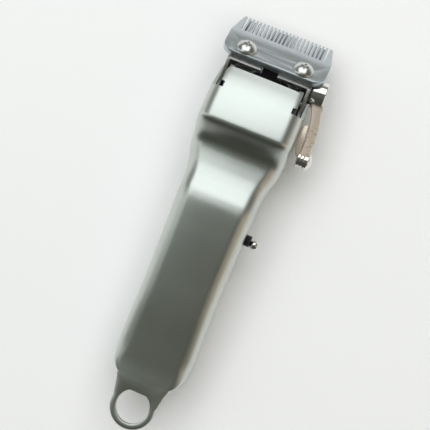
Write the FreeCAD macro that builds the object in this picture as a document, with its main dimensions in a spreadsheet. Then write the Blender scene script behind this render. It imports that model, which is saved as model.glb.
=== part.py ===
import FreeCAD, Part
import bisect
import math
import os
import re
import Sketcher
from FreeCAD import Placement, Rotation, Vector

# A cordless hair clipper with a cast metal casing, lying on the flat of its top cover.
# X points to the taper lever's side, Y to the blade's teeth and Z out of the underside.
# The origin is the middle of the cover's flat resting face. Everything is in millimetres.

DIMENSIONS = {
    # casing, side view: places along Y and heights of the underside
    "tail_y": -70.5, "tail_z": 27.5,
    "grip_y": -31, "grip_z": 31.2,
    "crest_y": 8, "crest_z": 33.6,
    "scoop_y": 31, "scoop_z": 30,
    "ridge_y": 42.7, "ridge_z": 38,
    "lip_y": 66.5, "lip_z": 31.3,
    # casing, seen from above: half widths
    "tail_half": 12.2, "shoulder_half": 16.9, "grip_half": 16.4, "waist_half": 17.3,
    "head_half": 21, "lip_half": 20.2, "waist_y": 17, "head_y": 46.5,
    # casing, section
    "wall": 2, "end_wall": 2.5, "corner_radius": 6.5, "crown_radius": 160, "parting_z": 16,
    "section_step": 3,
    "cover_end_y": 72, "cover_nose_z": 4.6, "cover_nose_top": 10.5, "cover_lean": 9,
    "cover_tail_z": 10, "cover_sag": 0.6, "cover_round": 5.2,
    # hanging loop
    "loop_y": -82.2, "loop_radius": 9.9, "hang_hole_radius": 7.2, "loop_thick": 3.2,
    "neck_y": -72, "neck_half": 11.7, "loop_root_y": -60, "loop_edge": 1.1,
    # mouth of the casing
    "tongue_half": 17, "tongue_corner": 2.6, "side_edge_y": 56.4, "side_edge_z": 28,
    "side_slope_z": 22, "mouth_pocket_half": 19.45, "notch_wide": 1.7, "notch_long": 2.7,
    # blade set, in the frame of the blade: U runs to the teeth and N out of the skin side
    "blade_y": 72.9, "blade_z": 29.5, "blade_tilt": 37,
    "blade_wide": 46, "blade_long": 25.5, "blade_thick": 3, "blade_flat": 12, "facet_long": 2.2,
    "facet_drop": 0.35, "tip_thick": 0.7, "tip_half": 20.8, "rear_corner": 5,
    "tooth_pitch": 1.72, "tooth_gap": 0.85, "tooth_gaps": 23, "tooth_root": 14.6,
    "screw_spacing": 26, "screw_u": 4.6, "blade_hole_radius": 2.2,
    "screw_radius": 1.85, "screw_head_radius": 4.5, "screw_head_high": 2.5, "screw_long": 5.2,
    "cutter_gap": 0.03, "cutter_wide": 37, "cutter_start": 11, "cutter_end": 24.7,
    "cutter_thick": 2.4, "cutter_pitch": 1.9, "cutter_tooth_gap": 0.95, "cutter_gaps": 18,
    "cutter_root": 16.8,
    # blade bracket
    "sheet_thick": 1.6, "flange_half": 19, "flange_start": -2, "flange_end": 9.5,
    "flange_notch_half": 3.75, "flange_notch_end": 5, "ear_thick": 1.4,
    "thread_radius": 1.9, "blade_travel": 1.094,
    # head frame
    "frame_y": 50.3, "plate_thick": 2, "cheek_out": 16.8, "cheek_thick": 2, "cheek_bottom": 12,
    "guide_radius": 1.5, "guide_gap": 0.06, "frame_post_x": 13, "frame_post_y": 47,
    # taper lever
    "pivot_y": 70, "pivot_z": 19.5, "shaft_radius": 2.2, "running_gap": 0.04,
    "cam_radius": 2.6, "cam_offset": 1.6, "cam_angle": 20, "hub_radius": 6.2,
    "hub_in": 19.6, "hub_out": 25.8, "hub_bore": 1.9, "hub_room": 0.5, "lever_screw_radius": 0.8,
    "lever_head_high": 1.1, "arm_wide": 7, "arm_thick": 3.8, "arm_flare": 0.7, "arm_reach": 2.3,
    "arm_bow": 48, "knob_y": 41.5, "knob_radius": 3.9, "knob_in": 24, "knob_out": 29,
    "knob_dome": 2, "leaf_gap": 0.35, "leaf_long": 13.6,
    # motor and drive
    "motor_z": 15.5, "motor_radius": 11, "motor_front_y": 50.3, "motor_long": 28,
    "can_thick": 1, "motor_shaft_radius": 1, "armature_radius": 7.2, "magnet_thick": 2.2,
    "cam_y": 56, "crank_offset": 1.3, "crank_radius": 1.1, "crank_long": 6.3,
    "fork_y": 61.6, "fork_thick": 4.6, "fork_slot_half": 4.1, "fork_wall": 2.4,
    # battery, board, socket and switch
    "cell_radius": 7.1, "cell_long": 49, "cell_y": -56, "cell_z": 17.2,
    "board_half": 8.2, "board_long": 58, "board_y": -57, "board_z": 4.8, "board_thick": 1.4,
    "socket_radius": 4, "socket_bore": 2.8, "socket_deep": 9, "socket_z": 20.2, "socket_long": 10.6,
    "switch_y": 0.8, "switch_z": 20.6, "bushing_radius": 2.6, "bushing_out": 2.4,
    "toggle_angle": 10, "toggle_reach": 6.6, "toggle_ball": 2.1, "toggle_stem": 1.2,
    "toggle_root": 2,
    # screws that close the casing
    "post_radius": 2.7, "rear_post_x": 11.2, "rear_post_y": -48, "front_post_x": 14.6,
    "front_post_y": 36, "casing_screw_radius": 1.25, "casing_head_radius": 2.3,
    "casing_head_high": 1.6,
}

doc = FreeCAD.newDocument("hair_clipper")
dims = doc.addObject("Spreadsheet::Sheet", "dims")
for row, (alias, number) in enumerate(DIMENSIONS.items(), start=1):
    dims.set(f"A{row}", alias)
    dims.set(f"B{row}", str(number))
    dims.setAlias(f"B{row}", alias)
doc.recompute()

PARTS = {}
ALIAS = re.compile(r"\b[a-z][a-z0-9_]*\b")


# ---- helpers ----------------------------------------------------------------------------------

def bound(expression):
    """The expression with each of the sheet's names written the way a document wants it."""
    return ALIAS.sub(lambda m: "dims." + m[0] if m[0] in DIMENSIONS else m[0], str(expression))


def mm(expression):
    """The number that an expression of the sheet's names gives."""
    return float(dims.evalExpression(bound(expression)))


def place(item, x="0", y="0", z="0", axis=None, angle=0):
    """Binds where an object stands, and turns it about an axis."""
    if axis is not None:
        item.Placement = Placement(Vector(), Rotation(Vector(*axis), angle))
    for name, expression in (("x", x), ("y", y), ("z", z)):
        item.setExpression(f"Placement.Base.{name}", bound(expression))
    return item


def box(name, low, size):
    """A box from its lowest corner and its three sizes."""
    item = doc.addObject("Part::Box", name)
    for side, expression in zip(("Length", "Width", "Height"), size):
        item.setExpression(side, bound(expression))
    return place(item, *low)


TURNS = {"X": ((0, 1, 0), 90), "Y": ((1, 0, 0), -90), "Z": ((0, 0, 1), 0)}


def cylinder(name, start, radius, long, along="Z"):
    """A cylinder that runs from start in the positive direction of one axis."""
    item = doc.addObject("Part::Cylinder", name)
    item.setExpression("Radius", bound(radius))
    item.setExpression("Height", bound(long))
    axis, angle = TURNS[along]
    return place(item, *start, axis=axis, angle=angle)


def fuse(name, *items):
    made = doc.addObject("Part::MultiFuse", name)
    made.Shapes = list(items)
    return made


def cut(name, base, *tools):
    made = doc.addObject("Part::Cut", name)
    made.Base = base
    made.Tool = tools[0] if len(tools) == 1 else fuse(name + "_tools", *tools)
    return made


def group(name, *items):
    """Several loose solids that share one node."""
    made = doc.addObject("Part::Compound", name)
    made.Links = list(items)
    return made


def sub_part(label, item, placement=None):
    """Names a finished object as one of the clipper's pieces."""
    item.Label = label
    if placement is not None:
        item.Placement = placement
    PARTS[label] = item
    return item


def own_shape(name, shape):
    made = doc.addObject("Part::Feature", name)
    made.Shape = shape
    return made


def plane(body, role):
    return next(f for f in body.Origin.OriginFeatures if f.Role == role + "_Plane")


def sketch(body, role, name, points, arcs=None):
    """A closed outline on one of the body's own planes. Each corner is bound to the sheet.

    arcs maps an edge's number to the radius of the arc that replaces it, bulging to the right
    of its run where the radius is positive."""
    arcs = arcs or {}
    made = body.newObject("Sketcher::SketchObject", name)
    made.AttachmentSupport = [(plane(body, role), "")]
    made.MapMode = "FlatFace"
    at = [Vector(mm(a), mm(b), 0) for a, b in points]
    count = len(at)
    for i in range(count):
        a, b = at[i], at[(i + 1) % count]
        if i not in arcs:
            made.addGeometry(Part.LineSegment(a, b))
            continue
        radius = mm(arcs[i])
        run = b - a
        right = Vector(run.y, -run.x, 0).normalize() * math.copysign(1, radius)
        rise = abs(radius) - math.sqrt(radius ** 2 - (run.Length / 2) ** 2)
        arc = Part.Arc(a, (a + b) * 0.5 + right * rise, b)
        made.addGeometry(arc)
    for i, (a, b) in enumerate(points):
        for kind, expression in (("DistanceX", a), ("DistanceY", b)):
            end = _start_of(made, i, at[i])
            number = made.addConstraint(Sketcher.Constraint(kind, -1, 1, i, end, mm(expression)))
            made.setExpression(f"Constraints[{number}]", bound(expression))
        before = (i - 1) % count
        other = _start_of(made, before, at[i])
        made.addConstraint(Sketcher.Constraint("Coincident", before, other, i, end))
    for i, radius in arcs.items():
        number = made.addConstraint(Sketcher.Constraint("Radius", i, abs(mm(radius))))
        made.setExpression(f"Constraints[{number}]", bound(f"abs({radius})"))
    return made


def _start_of(made, number, point):
    """Which end of an edge lies on a point: 1 for its first, 2 for its last."""
    return 1 if (made.getPoint(number, 1) - point).Length < 1e-6 else 2


def pad(body, profile, length, middle=False):
    made = body.newObject("PartDesign::Pad", profile.Name + "_pad")
    made.Profile = profile
    made.setExpression("Length", bound(length))
    made.Midplane = middle
    return made


def pocket(body, profile):
    made = body.newObject("PartDesign::Pocket", profile.Name + "_cut")
    made.Profile = profile
    made.Type = "ThroughAll"
    made.Midplane = True
    return made


def row_of(body, feature, profile, spacing, count):
    """Repeats a cut along X."""
    made = body.newObject("PartDesign::LinearPattern", feature.Name + "_row")
    made.Originals = [feature]
    made.Direction = (profile, ["H_Axis"])
    made.setExpression("Length", bound(f"{spacing} * ({count} - 1)"))
    made.setExpression("Occurrences", bound(count))
    body.Tip = made
    return made


def round_edges(body, base, radius, wanted):
    """Rounds those edges of a feature for which wanted(edge) is true."""
    doc.recompute()
    names = [f"Edge{i}" for i, e in enumerate(base.Shape.Edges, start=1) if wanted(e)]
    made = body.newObject("PartDesign::Fillet", base.Name + "_round")
    made.Base = (base, names)
    made.setExpression("Radius", bound(radius))
    body.Tip = made
    return made


def revolved(label, points, arcs=None):
    """A turned piece: the outline is given as places along Z and radii, about the Z axis."""
    body = doc.addObject("PartDesign::Body", label + "_body")
    outline = sketch(body, "XZ", label + "_outline", points, arcs)
    made = body.newObject("PartDesign::Revolution", label + "_turn")
    made.Profile = outline
    made.ReferenceAxis = (outline, ["V_Axis"])
    made.Angle = 360
    return body


def dome(radius, rise):
    """The radius of a ball whose cap has this radius at its foot and this rise."""
    return f"({radius}^2 + {rise}^2) / (2 * {rise})"


def smooth(points):
    """A curve through (place, value) points that never overshoots between two of them."""
    at, values = zip(*points)
    gaps = [b - a for a, b in zip(at, at[1:])]
    rises = [(b - a) / g for a, b, g in zip(values, values[1:], gaps)]
    slopes = [rises[0]]
    for before, after in zip(rises, rises[1:]):
        slopes.append(0 if before * after <= 0 else 2 * before * after / (before + after))
    slopes.append(rises[-1])

    def value(place_y):
        y = min(max(place_y, at[0]), at[-1])
        i = min(bisect.bisect_right(at, y) - 1, len(gaps) - 1)
        t = (y - at[i]) / gaps[i]
        return (values[i] * (1 + 2 * t) * (1 - t) ** 2 + slopes[i] * gaps[i] * t * (1 - t) ** 2
                + values[i + 1] * t * t * (3 - 2 * t) + slopes[i + 1] * gaps[i] * t * t * (t - 1))

    return value


# ---- casing -----------------------------------------------------------------------------------

tail_y, lip_y, wall, parting = mm("tail_y"), mm("lip_y"), mm("wall"), mm("parting_z")

# The underside: grip, crest, finger scoop, ridge, and the brow that falls to the lip.
underside = smooth([
    (tail_y, mm("tail_z")),
    (tail_y + 4, mm("tail_z + 0.05")),
    (tail_y + 12, mm("tail_z + 0.65")),
    (mm("grip_y"), mm("grip_z")),
    (mm("crest_y - 9"), mm("crest_z - 0.3")),
    (mm("crest_y"), mm("crest_z")),
    (mm("crest_y + 4"), mm("crest_z - 0.35")),
    (mm("crest_y + 8"), mm("crest_z - 1.35")),
    (mm("crest_y + 12"), mm("crest_z - 2.35")),
    (mm("scoop_y - 6"), mm("scoop_z + 0.4")),
    (mm("scoop_y"), mm("scoop_z")),
    (mm("scoop_y + 2.5"), mm("scoop_z + 0.45")),
    (mm("scoop_y + 5"), mm("scoop_z + 2")),
    (mm("ridge_y - 3.2"), mm("ridge_z - 2.4")),
    (mm("ridge_y - 1.2"), mm("ridge_z - 0.5")),
    (mm("ridge_y"), mm("ridge_z")),
    (mm("ridge_y + 2"), mm("ridge_z - 0.2")),
    (mm("ridge_y + 11"), mm("ridge_z - 1.8")),
    (mm("lip_y - 8.5"), mm("lip_z + 3.7")),
    (mm("lip_y - 4.5"), mm("lip_z + 2.15")),
    (lip_y, mm("lip_z")),
])

half_width = smooth([
    (tail_y, mm("tail_half")),
    (tail_y + 1.8, mm("tail_half + (shoulder_half - tail_half) * 0.42")),
    (tail_y + 5, mm("tail_half + (shoulder_half - tail_half) * 0.76")),
    (tail_y + 10, mm("shoulder_half - 0.3")),
    (tail_y + 16, mm("shoulder_half")),
    (mm("grip_y"), mm("grip_half")),
    (mm("waist_y - 15"), mm("waist_half - 0.3")),
    (mm("waist_y"), mm("waist_half")),
    (mm("waist_y + 6.5"), mm("waist_half + (head_half - waist_half) * 0.27")),
    (mm("waist_y + 10"), mm("waist_half + (head_half - waist_half) * 0.55")),
    (mm("waist_y + 14"), mm("waist_half + (head_half - waist_half) * 0.79")),
    (mm("waist_y + 20"), mm("head_half - 0.25")),
    (mm("head_y"), mm("head_half")),
    (mm("head_y + 10"), mm("head_half - 0.1")),
    (lip_y, mm("lip_half")),
])

cover_bottom = smooth([
    (tail_y, mm("cover_tail_z")),
    (tail_y + 2.5, mm("cover_tail_z * 0.62")),
    (tail_y + 8, mm("cover_tail_z * 0.26")),
    (tail_y + 18, 0.2),
    (tail_y + 30, mm("-cover_sag + 0.1")),
    (0, mm("-cover_sag")),
    (mm("head_y - 8"), mm("-cover_sag + 0.1")),
    (mm("head_y + 4"), 0.2),
    (mm("(head_y + 4 + cover_end_y) / 2"), mm("cover_nose_z * 0.3")),
    (mm("cover_end_y"), mm("cover_nose_z")),
])


def upper_section(y, inset, bottom):
    """The casing's upper half cut across at y: a crowned top, round corners and upright sides."""
    half = half_width(y) - inset
    top = underside(y) - inset
    radius = mm("corner_radius") - inset
    crown = mm("crown_radius") - inset
    corner_x = half - radius
    corner_z = top - crown + math.sqrt((crown - radius) ** 2 - corner_x ** 2)
    lean = math.asin(corner_x / (crown - radius))

    def round_point(angle, side):
        x = corner_x + radius * math.sin(angle)
        return Vector(side * x, y, corner_z + radius * math.cos(angle))

    middle = (lean + math.pi / 2) / 2
    foot_right, foot_left = Vector(half, y, bottom), Vector(-half, y, bottom)
    right = [round_point(a, 1) for a in (lean, middle, math.pi / 2)]
    left = [round_point(a, -1) for a in (math.pi / 2, middle, lean)]
    edges = [
        Part.Arc(left[2], Vector(0, y, top), right[0]).toShape(),
        Part.Arc(*right).toShape(),
        Part.makeLine(right[2], foot_right),
        Part.makeLine(foot_right, foot_left),
        Part.makeLine(foot_left, left[0]),
        Part.Arc(*left).toShape(),
    ]
    return Part.Wire(edges)


def cover_section(y, inset, rise):
    """The top cover cut across at y: sides that lean in and curve round to a flat bottom."""
    half = half_width(y) - inset
    flat = half_width(y) - mm("cover_round") - inset * 0.4
    low = cover_bottom(y) + inset
    deep = parting - low
    lean = math.tan(math.radians(mm("cover_lean")))

    def side(sign):
        start = Vector(sign * half, y, parting)
        first = Vector(sign * (half - lean * deep * 0.75), y, parting - deep * 0.75)
        second = Vector(sign * (flat + (half - flat) * 0.5), y, low)
        curve = Part.BezierCurve()
        curve.setPoles([start, first, second, Vector(sign * flat, y, low)])
        return curve

    right, left = side(1), side(-1)
    edges = [right.toShape(), Part.makeLine(right.getPole(4), left.getPole(4)), left.toShape()]
    corners = [left.getPole(1), right.getPole(1)]
    if rise:
        up = Vector(0, 0, rise)
        edges.append(Part.makeLine(corners[0], corners[0] + up))
        edges.append(Part.makeLine(corners[1] + up, corners[1]))
        corners = [c + up for c in corners]
    edges.append(Part.makeLine(corners[0], corners[1]))
    return Part.Wire(Part.__sortEdges__(edges))


def stations(first, last):
    """Evenly spaced places along Y for the casing's sections."""
    count = round((last - first) / mm("section_step"))
    return [first + (last - first) * i / count for i in range(count + 1)]


def loft(wires):
    return Part.makeLoft(wires, True, False)


def loop_plate():
    """The flat hanging loop: an eye whose sides run out to the casing's shoulders."""
    eye = mm("loop_y")
    radius, neck_half = mm("loop_radius"), mm("neck_half")
    neck, root = mm("neck_y"), mm("loop_root_y")
    top = mm("tail_z")
    # the straight side is tangent to the eye and ends at the neck
    reach = math.hypot(neck_half, neck - eye)
    lean = math.atan2(neck - eye, neck_half) - math.acos(radius / reach)
    touch = Vector(radius * math.cos(lean), eye + radius * math.sin(lean), top)
    flip = lambda p: Vector(-p.x, p.y, p.z)
    corner, inner = Vector(neck_half, neck, top), Vector(neck_half, root, top)
    outline = Part.Wire([
        Part.Arc(flip(touch), Vector(0, eye - radius, top), touch).toShape(),
        Part.makeLine(touch, corner),
        Part.makeLine(corner, inner),
        Part.makeLine(inner, flip(inner)),
        Part.makeLine(flip(inner), flip(corner)),
        Part.makeLine(flip(corner), flip(touch)),
    ])
    thick = mm("loop_thick")
    plate = Part.Face(outline).extrude(Vector(0, 0, -thick))
    hole = Part.makeCylinder(mm("hang_hole_radius"), thick + 2, Vector(0, eye, top - thick - 1))
    plate = plate.cut(hole)
    outer = [e for e in plate.Edges
             if abs(e.Vertexes[0].Z - e.Vertexes[-1].Z) < 1e-6 and e.BoundBox.YMin < neck - 0.01
             and not (len(e.Vertexes) == 1)]
    plate = plate.makeFillet(mm("loop_edge"), outer)
    rim = [e for e in plate.Edges if len(e.Vertexes) == 1
           and abs(e.BoundBox.XMax - mm("hang_hole_radius")) < 1e-3
           and e.BoundBox.ZMax - e.BoundBox.ZMin < 1e-3]
    return plate.makeFillet(0.4, rim)


def post(x, y, low, high, radius):
    return Part.makeCylinder(radius, high - low, Vector(x, y, low))


def hub_recess():
    """The round opening in the casing's right side that the lever's hub turns in."""
    at = Vector(mm("hub_in - hub_room"), mm("pivot_y"), mm("pivot_z"))
    return Part.makeCylinder(mm("hub_radius + hub_room"), 6, at, Vector(1, 0, 0))


def bottom_housing():
    places = stations(tail_y, lip_y)
    outer = loft([upper_section(y, 0, parting) for y in places])
    inner_start = tail_y + mm("end_wall")
    inner_places = stations(inner_start, lip_y)
    inner = loft([upper_section(y, wall, parting - 1) for y in inner_places])
    mouth = upper_section(lip_y, wall, parting - 1)
    opening = Part.Face(mouth).extrude(Vector(0, 3, 0))
    shell = outer.fuse(loop_plate()).cut(inner).cut(opening)

    # posts for the casing's screws and for the head frame, inside the shell
    posts = []
    holes = []
    for side in (-1, 1):
        for name in ("rear", "front"):
            x, y = side * mm(f"{name}_post_x"), mm(f"{name}_post_y")
            top = underside(y)
            posts.append(post(x, y, parting, top, mm("post_radius")))
            holes.append(post(x, y, parting - 1, top - 5, mm("casing_screw_radius")))
        x, y = side * mm("frame_post_x"), mm("frame_post_y")
        top = underside(y)
        posts.append(post(x, y, mm("motor_z + 8.5"), top, mm("post_radius")))
        holes.append(post(x, y, mm("motor_z + 7"), top - 5.5, mm("casing_screw_radius")))
    core = loft([upper_section(y, wall / 2, parting) for y in places])
    shell = shell.fuse([p.common(core) for p in posts]).cut(holes)

    # the mouth: a tongue in the middle, side edges that slope back, a notch at each root
    half, edge_y = mm("tongue_half"), mm("side_edge_y")
    corner = mm("tongue_corner")
    profile = [(edge_y, 60), (edge_y, mm("side_edge_z")), (lip_y + 0.01, mm("side_slope_z")),
               (lip_y + 5, mm("side_slope_z")), (lip_y + 5, 60)]
    cuts = []
    for side in (-1, 1):
        face = Part.Face(Part.makePolygon([Vector(side * half, y, z) for y, z in
                                           profile + profile[:1]]))
        cuts.append(face.extrude(Vector(side * 20, 0, 0)))
        low_x = half - mm("notch_wide") if side > 0 else -half
        cuts.append(Part.makeBox(mm("notch_wide"), mm("notch_long"), 20,
                                 Vector(low_x, edge_y, mm("side_slope_z"))))
        pocket_low = half - 4 if side > 0 else -mm("mouth_pocket_half")
        cuts.append(Part.makeBox(mm("mouth_pocket_half") - half + 4, lip_y - edge_y + 6, 14,
                                 Vector(pocket_low, edge_y - 3, parting - 1)))
        square = Part.makeBox(corner, corner, 20, Vector(half - corner if side > 0 else -half,
                                                         lip_y - corner, parting + 8))
        round_x = side * (half - corner)
        keep = Part.makeCylinder(corner, 20, Vector(round_x, lip_y - corner, parting + 8))
        cuts.append(square.cut(keep))
    shell = shell.cut(cuts + [hub_recess()])

    # holes for the charging socket and the power switch
    socket = Part.makeCylinder(mm("socket_radius"), 10,
                               Vector(0, tail_y - 3, mm("socket_z")), Vector(0, 1, 0))
    switch = Part.makeCylinder(mm("bushing_radius"), 12,
                               Vector(mm("waist_half - 6"), mm("switch_y"), mm("switch_z")),
                               Vector(1, 0, 0))
    return shell.cut([socket, switch])


def top_cover():
    last = mm("cover_end_y")
    outer = loft([cover_section(y, 0, 0) for y in stations(tail_y, last)])
    inner_start = tail_y + mm("end_wall")
    inner = loft([cover_section(y, wall, 1) for y in stations(inner_start, last)])
    mouth = Part.Face(cover_section(last, wall, 1)).extrude(Vector(0, 3, 0))
    below = Part.makeBox(80, 200, 10, Vector(-40, -100, -10))
    slant = [(lip_y, parting + 2), (lip_y, parting), (last + 1, mm("cover_nose_top")),
             (last + 1, parting + 2), (lip_y, parting + 2)]
    slant = Part.Face(Part.makePolygon([Vector(-40, y, z) for y, z in slant]))
    shell = outer.cut([inner, mouth, below, slant.extrude(Vector(80, 0, 0))])
    pocket_half, edge_y = mm("mouth_pocket_half"), mm("side_edge_y - 3")
    for low_x in (-pocket_half, pocket_half - 4):
        shell = shell.cut(Part.makeBox(4, last - edge_y + 1, 5, Vector(low_x, edge_y, parting - 4)))
    posts = []
    holes = []
    for side in (-1, 1):
        for name in ("rear", "front"):
            x, y = side * mm(f"{name}_post_x"), mm(f"{name}_post_y")
            posts.append(post(x, y, 0, parting, mm("post_radius")))
            holes.append(post(x, y, 0, parting + 1, mm("casing_screw_radius + 0.2")))
            holes.append(post(x, y, -1, mm("casing_head_high + 1.4"),
                              mm("casing_head_radius + 0.2")))
    # two standoffs that carry the circuit board
    for y in (mm("board_y + 4"), mm("board_y + board_long - 3.6")):
        posts.append(post(0, y, 0.5, mm("board_z"), 2.2))
        holes.append(post(0, y, 2.2, mm("board_z + 1"), 0.9))
    core = loft([cover_section(y, wall / 2, 0) for y in stations(tail_y, last)])
    lens = post(0, mm("board_y + board_long - 12"), -1, 4, 1.6)
    return shell.fuse([p.common(core) for p in posts]).cut(holes + [lens, hub_recess()])


def casing_screws():
    screws = []
    for side in (-1, 1):
        for name in ("rear", "front"):
            x, y = mm(f"{name}_post_x") * side, mm(f"{name}_post_y")
            seat = mm("casing_head_high + 1.4")
            head = post(x, y, seat - mm("casing_head_high"), seat, mm("casing_head_radius"))
            shank = post(x, y, seat, underside(y) - 6, mm("casing_screw_radius"))
            slots = [Part.makeBox(a, b, 0.9, Vector(x - a / 2, y - b / 2, seat - 1.6))
                     for a, b in ((2.8, 0.6), (0.6, 2.8))]
            screws.append(head.fuse(shank).cut(slots))
    return Part.makeCompound(screws)


# ---- blade set --------------------------------------------------------------------------------

BLADE_FRAME = Placement(Vector(0, mm("blade_y"), mm("blade_z")),
                        Rotation(Vector(1, 0, 0), -mm("blade_tilt")))


def rear_upright(edge):
    """Whether an edge of the blade's plate stands upright at its rear."""
    extent = edge.BoundBox
    return abs(extent.YMax) < 1e-6 and extent.XMax - extent.XMin < 1e-6


def stationary_blade():
    body = doc.addObject("PartDesign::Body", "stationary_blade")
    side = sketch(body, "YZ", "blade_side", [
        ("0", "0"), ("blade_flat", "0"), ("blade_flat + facet_long", "-facet_drop"),
        ("blade_long", "-blade_thick + tip_thick"), ("blade_long", "-blade_thick"),
        ("0", "-blade_thick")])
    plate = pad(body, side, "blade_wide", middle=True)
    round_edges(body, plate, "rear_corner", rear_upright)
    for name, sign in (("right", ""), ("left", "-")):
        taper = sketch(body, "XY", name + "_taper", [
            (sign + "blade_wide / 2", "blade_flat + facet_long - 1"),
            (sign + "(blade_wide / 2 + 2)", "blade_flat"),
            (sign + "(blade_wide / 2 + 2)", "blade_long + 2"),
            (sign + "(tip_half - 1)", "blade_long + 2"), (sign + "(tip_half - 0.6)", "blade_long"),
            (sign + "tip_half", "blade_long - 0.8")])
        pocket(body, taper)
    gap = sketch(body, "XY", "tooth_gap_outline", [
        ("-(tooth_gaps - 1) / 2 * tooth_pitch - tooth_gap / 2", "blade_long + 2"),
        ("-(tooth_gaps - 1) / 2 * tooth_pitch - tooth_gap / 2", "tooth_root + tooth_gap / 2"),
        ("-(tooth_gaps - 1) / 2 * tooth_pitch + tooth_gap / 2", "tooth_root + tooth_gap / 2"),
        ("-(tooth_gaps - 1) / 2 * tooth_pitch + tooth_gap / 2", "blade_long + 2")],
        arcs={1: "tooth_gap / 2 + 0.001"})
    row_of(body, pocket(body, gap), gap, "tooth_pitch", "tooth_gaps")
    for name, sign in (("right", ""), ("left", "-")):
        hole = body.newObject("Sketcher::SketchObject", name + "_hole")
        hole.AttachmentSupport = [(plane(body, "XY"), "")]
        hole.MapMode = "FlatFace"
        centre = Vector(mm(sign + "screw_spacing / 2"), mm("screw_u"), 0)
        hole.addGeometry(Part.Circle(centre, Vector(0, 0, 1), mm("blade_hole_radius")))
        for kind, expression in (("DistanceX", sign + "screw_spacing / 2"),
                                 ("DistanceY", "screw_u")):
            number = hole.addConstraint(Sketcher.Constraint(kind, -1, 1, 0, 3, mm(expression)))
            hole.setExpression(f"Constraints[{number}]", bound(expression))
        number = hole.addConstraint(Sketcher.Constraint("Radius", 0, mm("blade_hole_radius")))
        hole.setExpression(f"Constraints[{number}]", bound("blade_hole_radius"))
        pocket(body, hole)
    return body


def cutter_blade():
    body = doc.addObject("PartDesign::Body", "cutter_blade")
    top = "-blade_thick - cutter_gap"
    side = sketch(body, "YZ", "cutter_side", [
        ("cutter_start", top), ("cutter_end", top), ("cutter_end", top + " - 0.5"),
        ("cutter_root + 0.8", top + " - cutter_thick"), ("cutter_start", top + " - cutter_thick")])
    pad(body, side, "cutter_wide", middle=True)
    first = "-(cutter_gaps - 1) / 2 * cutter_pitch"
    gap = sketch(body, "XY", "cutter_gap_outline", [
        (first + " - cutter_tooth_gap / 2", "cutter_end + 2"),
        (first + " - cutter_tooth_gap / 2", "cutter_root"),
        (first + " + cutter_tooth_gap / 2", "cutter_root"),
        (first + " + cutter_tooth_gap / 2", "cutter_end + 2")])
    row_of(body, pocket(body, gap), gap, "cutter_pitch", "cutter_gaps")
    for name, middle in (("right", 6), ("left", -6)):
        slot = sketch(body, "XY", name + "_pin_slot", [
            (str(middle - 1.2), "cutter_start + 1.4"), (str(middle + 1.2), "cutter_start + 1.4"),
            (str(middle + 1.2), "cutter_start + 3.8"), (str(middle - 1.2), "cutter_start + 3.8")])
        pocket(body, slot)
    return body


def blade_screw(name, side):
    """A dome-headed screw with a cross recess, standing on the blade's skin side."""
    body = revolved(name, [
        ("0", "-screw_long"), ("screw_radius", "-screw_long"), ("screw_radius", "0"),
        ("screw_head_radius", "0"), ("screw_head_radius - 0.1", "0.5"),
        ("0", "screw_head_high")],
        arcs={4: dome("(screw_head_radius - 0.1)", "(screw_head_high - 0.5)")})
    slots = [box(f"{name}_slot_{i}", (f"-{a} / 2", f"-{b} / 2", "screw_head_high - 1.2"),
                 (str(a), str(b), "2")) for i, (a, b) in enumerate(((3.6, 0.8), (0.8, 3.6)))]
    made = cut(name, body, *slots)
    made.Placement = Placement(Vector(side * mm("screw_spacing / 2"), mm("screw_u"), 0), Rotation())
    return made


def blade_bracket():
    """The sheet-metal bracket behind the blade: a flange under it and an ear down each side."""
    flange = box("flange_sheet", ("-flange_half", "flange_start", "-blade_thick - sheet_thick"),
                 ("flange_half * 2", "flange_end - flange_start", "sheet_thick"))
    notch = box("flange_notch", ("-flange_notch_half", "flange_start - 1", "-blade_thick - 3"),
                ("flange_notch_half * 2", "flange_notch_end - flange_start + 1", "4"))
    notch_end = cylinder("flange_notch_end_round", ("0", "flange_notch_end", "-blade_thick - 3"),
                         "flange_notch_half", "4")
    threads = [cylinder(f"flange_thread_{side}", (f"{side} * screw_spacing / 2", "screw_u",
                                                  "-blade_thick - 3"), "thread_radius", "4")
               for side in (-1, 1)]
    flange = cut("flange", flange, notch, notch_end, *threads)
    flange.Placement = BLADE_FRAME
    ears = [bracket_ear(side) for side in (-1, 1)]
    return fuse("blade_bracket", flange, *ears)


def blade_point(u, n):
    """A point of the blade's frame, as (y, z) in the clipper's frame."""
    at = BLADE_FRAME.multVec(Vector(0, u, n))
    return at.y, at.z


def bracket_ear(side):
    front = mm("flange_end")
    under = mm("-blade_thick - sheet_thick")
    rear_y, rear_z = blade_point(mm("flange_start"), mm("-blade_thick"))
    back = mm("side_edge_y + 0.6")
    outline = [(back, rear_z - 0.6), (rear_y, rear_z), blade_point(front, mm("-blade_thick")),
               blade_point(front, under - 1.5), (mm("pivot_y + 5.5"), mm("pivot_z - 4.6")),
               (back + 5, mm("pivot_z - 4.6")), (back, mm("pivot_z + 0.8"))]
    thick = mm("ear_thick")
    inner = side * (mm("flange_half") - thick)
    face = Part.Face(Part.makePolygon([Vector(inner, y, z) for y, z in outline + outline[:1]]))
    ear = face.extrude(Vector(side * thick, 0, 0))
    return own_shape(f"ear_{'right' if side > 0 else 'left'}", ear.cut(ear_slots(side)))


def slot_tool(y, z, along, across, radius, side):
    """A slot through an ear: it lets a pin of this radius move along and across the blade."""
    wide, high = 2 * (radius + along), 2 * (radius + across)
    tool = Part.makeBox(8, wide, high, Vector(-4, -wide / 2, -high / 2))
    if across < along:
        ends = [Part.makeCylinder(radius + across, 8, Vector(-4, s * along, 0), Vector(1, 0, 0))
                for s in (-1, 1)]
        middle = Part.makeBox(8, 2 * along, high, Vector(-4, -along, -high / 2))
        tool = middle.fuse(ends)
    tool.Placement = Placement(Vector(side * mm("flange_half"), y, z), BLADE_FRAME.Rotation)
    return tool


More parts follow.
